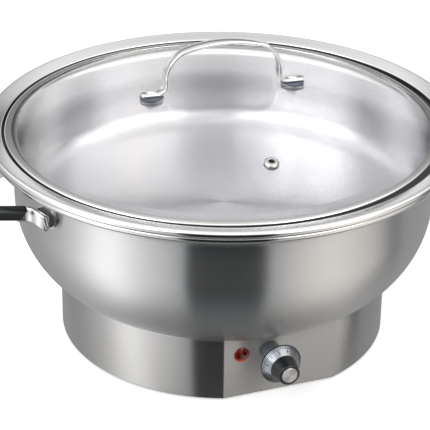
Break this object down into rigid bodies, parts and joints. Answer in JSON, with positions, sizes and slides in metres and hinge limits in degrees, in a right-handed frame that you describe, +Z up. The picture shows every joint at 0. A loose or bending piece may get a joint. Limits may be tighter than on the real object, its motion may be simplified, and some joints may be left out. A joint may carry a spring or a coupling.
{
  "type": "chafing dish",
  "caption": "Round electric chafing dish: steel ring base with control panel, deep bowl with side handles, lift-out food pan and domed glass lid with arched handle.",
  "frame": {"origin": "centre of the dish at the level of the feet's lower faces", "axes": "+Z up, -Y out of the flat control panel, X through the two side handles"},
  "size_m": [0.4514, 0.4, 0.2581],
  "materials": {
    "brushed_steel": "circular brushed",
    "plain_steel": "plain mill finish",
    "polished_steel": "polished",
    "chrome": "polished plate",
    "black_plastic": "smooth moulded",
    "dark_collar": "satin",
    "silver_skirt": "satin, printed dial",
    "spun_aluminium": "spun",
    "black_rubber": "matt",
    "red_rubber": "matt",
    "red_lens": "clear red, glossy",
    "ivory_plastic": "moulded",
    "wire_cover": "extruded",
    "brass": "machined",
    "copper": "drawn",
    "aluminium": "mill",
    "element_steel": "dark, heat tinted",
    "clear_glass": "clear, tempered"
  },
  "bodies": {
    "base": {"base_housing": "brushed_steel", "bottom_plate": "plain_steel", "rubber_feet": "black_rubber", "plate_screws": "plain_steel", "water_bowl": "brushed_steel", "bowl_studs": "plain_steel", "stud_washers": "plain_steel", "stud_nuts": "plain_steel", "handle_plates": "plain_steel", "handle_spacers": "black_rubber", "handle_feet_right": "chrome", "handle_feet_left": "chrome", "handle_grip_right": "black_plastic", "handle_grip_left": "black_plastic", "handle_washers": "black_rubber", "handle_screws": "plain_steel", "spindle_collar": "dark_collar", "lamp_lens": "red_lens", "lamp_body": "black_plastic", "lamp_clip": "plain_steel", "thermostat_body": "ivory_plastic", "thermostat_tabs": "brass", "sensing_bulb": "copper", "capillary": "copper", "bulb_clip": "plain_steel", "heat_spreader": "aluminium", "heating_element": "element_steel", "element_seals": "red_rubber", "element_pins": "plain_steel", "element_clamp": "plain_steel", "clamp_stud": "plain_steel", "clamp_nut": "plain_steel", "thermal_cutout": "black_plastic", "terminal_block": "ivory_plastic", "terminal_screws": "brass", "earth_stud": "brass", "earth_nut": "brass", "cord_gland": "black_plastic", "gland_nut": "black_plastic", "internal_wires": "wire_cover"},
    "knob": {"knob_body": "black_plastic", "knob_skirt": "silver_skirt", "knob_cap": "spun_aluminium", "knob_insert": "brass", "knob_set_screw": "plain_steel", "thermostat_spindle": "plain_steel"},
    "food_pan": {"food_pan": "brushed_steel"},
    "lid": {"lid_glass": "clear_glass", "lid_band": "polished_steel", "lid_handle": "polished_steel", "lid_screws": "polished_steel", "lid_washers_upper": "black_rubber", "lid_washers_lower": "black_rubber", "lid_nuts": "polished_steel", "vent_eyelet": "polished_steel"}
  },
  "joints": [
    {"name": "knob_turn", "type": "hinge", "parent": "base", "child": "knob", "pos_m": [-0.0088, -0.1302, 0.041], "axis": [0, 1, 0], "range_deg": [0, 270]},
    {"name": "food_pan_lift", "type": "slide", "parent": "base", "child": "food_pan", "axis": [0, 0, 1], "range_m": [0, 0.12]},
    {"name": "lid_lift", "type": "slide", "parent": "food_pan", "child": "lid", "axis": [0, 0, 1], "range_m": [0, 0.15]}
  ]
}
